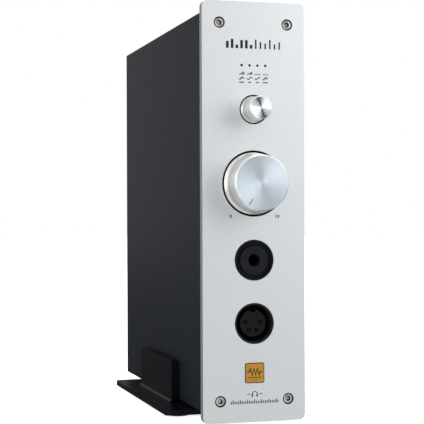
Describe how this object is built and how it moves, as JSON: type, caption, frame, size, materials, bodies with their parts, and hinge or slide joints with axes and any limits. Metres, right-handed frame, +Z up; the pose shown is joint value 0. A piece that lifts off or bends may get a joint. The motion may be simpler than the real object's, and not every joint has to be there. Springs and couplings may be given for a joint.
{
  "type": "headphone amplifier",
  "caption": "Upright headphone amplifier in a cradle stand: silver front panel with a volume knob, selector, jack and balanced socket, textured black case, rear connector panel.",
  "frame": {"origin": "on the surface that the feet stand on, midway across the width and midway between the volume knob's face and the rear ends of the phono jacks", "axes": "+Z up, front panel facing -Y, +X to the right of a person facing the front panel"},
  "size_m": [0.0808, 0.224, 0.2238],
  "materials": {
    "silver_panel": "fine bead-blasted and clear anodised",
    "knob_aluminium": "circular-brushed face, turned sides",
    "screw_steel": "bright zinc plated",
    "black_steel": "black oxide",
    "case_paint": "matte fine-textured black powder coat",
    "stand_paint": "satin black",
    "rubber_black": "matte",
    "socket_black": "moulded, satin",
    "contact_gold": "gold plated",
    "badge_amber": "printed amber with a dark rim",
    "light_guide": "smoked clear",
    "led_body": "clear epoxy",
    "board_green": "solder mask",
    "board_blue": "solder mask",
    "tray_steel": "zinc plated sheet",
    "core_weight": "tape-wound steel core under polyester tape",
    "plated_steel": "nickel plated",
    "heatsink_black": "black anodised",
    "chip_black": "moulded epoxy",
    "capacitor_sleeve": "shrink sleeve",
    "film_red": "dipped",
    "cable_grey": "flat PVC cable",
    "rear_paint": "satin black",
    "port_metal": "nickel plated",
    "pot_green": "moulded"
  },
  "bodies": {
    "chassis": {"front_panel": "silver_panel", "front_bracket": "stand_paint", "front_panel_screws": "screw_steel", "badge": "badge_amber", "volume_pot": "pot_green", "volume_pot_nut": "plated_steel", "selector_switch": "chip_black", "selector_nut": "plated_steel", "control_board": "board_green", "light_guides": "light_guide", "indicator_leds": "led_body", "indicator_board": "board_green", "indicator_spacers": "plated_steel", "headphone_jack": "socket_black", "jack_contacts": "contact_gold", "balanced_socket": "socket_black", "balanced_insert": "socket_black", "balanced_contacts": "contact_gold", "socket_screws": "black_steel", "case_left_shell": "case_paint", "case_right_shell": "case_paint", "inner_tray": "tray_steel", "transformer": "core_weight", "transformer_pads": "rubber_black", "transformer_plate": "tray_steel", "transformer_bolt": "plated_steel", "transformer_nut": "plated_steel", "main_board": "board_green", "power_board": "board_green", "port_board": "board_green", "board_standoffs": "contact_gold", "board_screws": "plated_steel", "dac_modules": "board_blue", "heatsinks": "heatsink_black", "output_transistors": "chip_black", "filter_capacitors": "capacitor_sleeve", "coupling_capacitors": "film_red", "output_relays": "chip_black", "ribbon_cable": "cable_grey", "rear_panel": "rear_paint", "rear_panel_screws": "black_steel", "power_inlet": "socket_black", "power_inlet_pins": "plated_steel", "connector_screws": "black_steel", "power_switch": "socket_black", "line_output_jacks": "contact_gold", "balanced_outputs": "socket_black", "balanced_output_pins": "plated_steel", "usb_port": "port_metal", "network_port": "port_metal", "stand": "stand_paint", "stand_pads": "rubber_black", "rubber_feet": "rubber_black"},
    "volume_control": {"volume_knob": "knob_aluminium", "volume_shaft": "plated_steel", "volume_set_screw": "black_steel"},
    "selector_control": {"selector_knob": "knob_aluminium", "selector_shaft": "plated_steel", "selector_set_screw": "black_steel"},
    "power_rocker": {"power_rocker": "socket_black"}
  },
  "joints": [
    {"name": "volume_turn", "type": "hinge", "parent": "chassis", "child": "volume_control", "pos_m": [0, -0.09805, 0.1273], "axis": [0, 1, 0], "range_deg": [0, 296]},
    {"name": "selector_turn", "type": "hinge", "parent": "chassis", "child": "selector_control", "pos_m": [0, -0.09805, 0.1666], "axis": [0, 1, 0], "range_deg": [0, 90]},
    {"name": "power_rock", "type": "hinge", "parent": "chassis", "child": "power_rocker", "pos_m": [0, 0.09795, 0.084], "axis": [-1, 0, 0], "range_deg": [0, 14]}
  ]
}
